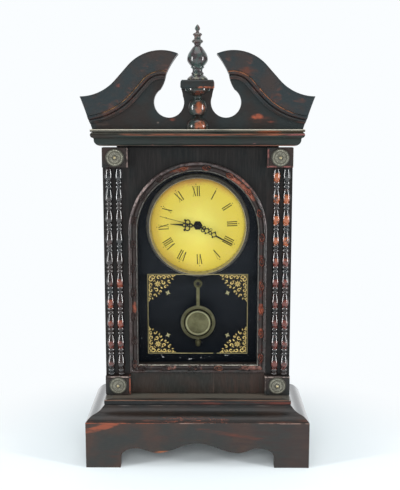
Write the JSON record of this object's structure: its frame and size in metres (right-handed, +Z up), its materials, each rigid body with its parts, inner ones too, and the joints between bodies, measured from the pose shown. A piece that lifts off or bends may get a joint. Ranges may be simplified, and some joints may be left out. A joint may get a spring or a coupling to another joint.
{
  "type": "ogee shelf clock",
  "caption": "Shelf clock with ogee-moulded bracket base, glazed arched door with split turnings, swan-neck pediment, round dial and swinging pendulum.",
  "frame": {"origin": "centre of the footprint on the ground, at the bottom of the overall box", "axes": "+X to the viewer's right, +Y to the back, +Z up"},
  "size_m": [0.3266, 0.15, 0.6285],
  "materials": {
    "lacquer": "semi-gloss black lacquer over wood",
    "worn_lacquer": "semi-gloss black lacquer rubbed through to red-brown on edges and high spots",
    "black_paint": "board painted satin black",
    "bare_wood": "plain sawn wood",
    "antique_brass": "aged olive-brown brass",
    "hinge_brass": "brushed brass",
    "steel": "zinc plated",
    "black_metal": "satin black",
    "black_plastic": "fine matt",
    "glass": "clear",
    "dial_paint": "aged yellow, satin",
    "battery_wrap": "gloss sleeve"
  },
  "bodies": {
    "case": {"base_front_skirt": "worn_lacquer", "base_left_skirt": "worn_lacquer", "base_right_skirt": "worn_lacquer", "base_back_rail": "lacquer", "base_moulding_front": "worn_lacquer", "base_moulding_left": "worn_lacquer", "base_moulding_right": "worn_lacquer", "base_deck": "lacquer", "case_left_side": "lacquer", "case_right_side": "lacquer", "case_top": "lacquer", "back_panel": "lacquer", "dial_board": "black_paint", "cornice_board": "worn_lacquer", "cornice_moulding_front": "worn_lacquer", "cornice_moulding_left": "worn_lacquer", "cornice_moulding_right": "worn_lacquer", "tympanum": "lacquer", "crown_moulding_left": "worn_lacquer", "crown_moulding_right": "worn_lacquer", "capital_block": "lacquer", "split_spindle": "worn_lacquer", "finial": "worn_lacquer", "case_hinge_leaves": "hinge_brass", "hinge_pins": "hinge_brass", "magnetic_catch": "black_plastic", "turn_button_screw": "steel", "dial": "dial_paint", "bezel": "antique_brass", "movement_housing": "black_plastic", "dial_nut": "hinge_brass", "battery": "battery_wrap"},
    "front_door": {"door_left_stile": "lacquer", "door_right_stile": "lacquer", "door_panel_left": "lacquer", "door_panel_right": "lacquer", "door_bottom_rail": "lacquer", "corner_blocks": "worn_lacquer", "rosettes": "antique_brass", "columns_left": "worn_lacquer", "columns_right": "worn_lacquer", "arch_moulding_top": "worn_lacquer", "arch_moulding_left": "worn_lacquer", "arch_moulding_right": "worn_lacquer", "arch_moulding_bottom": "worn_lacquer", "door_glass": "glass", "glazing_beads": "bare_wood", "door_hinge_leaves": "hinge_brass", "strike_plate": "steel"},
    "minute_hand": {"minute_hand": "black_metal"},
    "hour_hand": {"hour_hand": "black_metal"},
    "second_hand": {"second_hand": "black_metal"},
    "set_knob": {"set_knob": "black_plastic"},
    "pendulum": {"pendulum_hanger": "black_metal", "pendulum_rod": "antique_brass"},
    "pendulum_bob": {"pendulum_bob": "antique_brass"},
    "rating_nut": {"rating_nut": "antique_brass"},
    "back_door": {"back_door": "lacquer", "back_door_hinge_leaves": "hinge_brass"},
    "turn_button": {"turn_button": "hinge_brass"}
  },
  "joints": [
    {"name": "front_door_hinge", "type": "hinge", "parent": "case", "child": "front_door", "pos_m": [0.1197, -0.0053, 0.27775], "axis": [0, 0, 1], "range_deg": [0, 100]},
    {"name": "minute_hand_turn", "type": "hinge", "parent": "case", "child": "minute_hand", "pos_m": [0, 0.005, 0.342], "axis": [0, 1, 0], "continuous": true},
    {"name": "hour_hand_turn", "type": "hinge", "parent": "case", "child": "hour_hand", "pos_m": [0, 0.008, 0.342], "axis": [0, 1, 0], "continuous": true},
    {"name": "set_knob_turn", "type": "hinge", "parent": "case", "child": "set_knob", "pos_m": [0, 0.038, 0.342], "axis": [0, 1, 0], "continuous": true},
    {"name": "second_hand_turn", "type": "hinge", "parent": "case", "child": "second_hand", "pos_m": [0, 0.003, 0.342], "axis": [0, 1, 0], "continuous": true},
    {"name": "pendulum_swing", "type": "hinge", "parent": "case", "child": "pendulum", "pos_m": [0, 0.038, 0.3], "axis": [0, 1, 0], "range_deg": [-7, 7]},
    {"name": "bob_slide", "type": "slide", "parent": "pendulum", "child": "pendulum_bob", "axis": [0, 0, 1], "range_m": [-0.0015, 0.0015]},
    {"name": "rating_nut_turn", "type": "hinge", "parent": "pendulum_bob", "child": "rating_nut", "pos_m": [0, 0.037, 0.1557], "axis": [0, 0, 1], "continuous": true},
    {"name": "back_door_hinge", "type": "hinge", "parent": "case", "child": "back_door", "pos_m": [-0.0703, 0.0711, 0.3355], "axis": [0, 0, 1], "range_deg": [0, 100]},
    {"name": "turn_button_turn", "type": "hinge", "parent": "case", "child": "turn_button", "pos_m": [0.074, 0.0725, 0.3355], "axis": [0, 1, 0], "range_deg": [0, 90]}
  ],
  "couplings": [
    {"joint": "hour_hand_turn", "follows": "minute_hand_turn", "ratio": 0.083333},
    {"joint": "set_knob_turn", "follows": "minute_hand_turn", "ratio": 1},
    {"joint": "rating_nut_turn", "follows": "bob_slide", "rad_per_m": 12566}
  ]
}
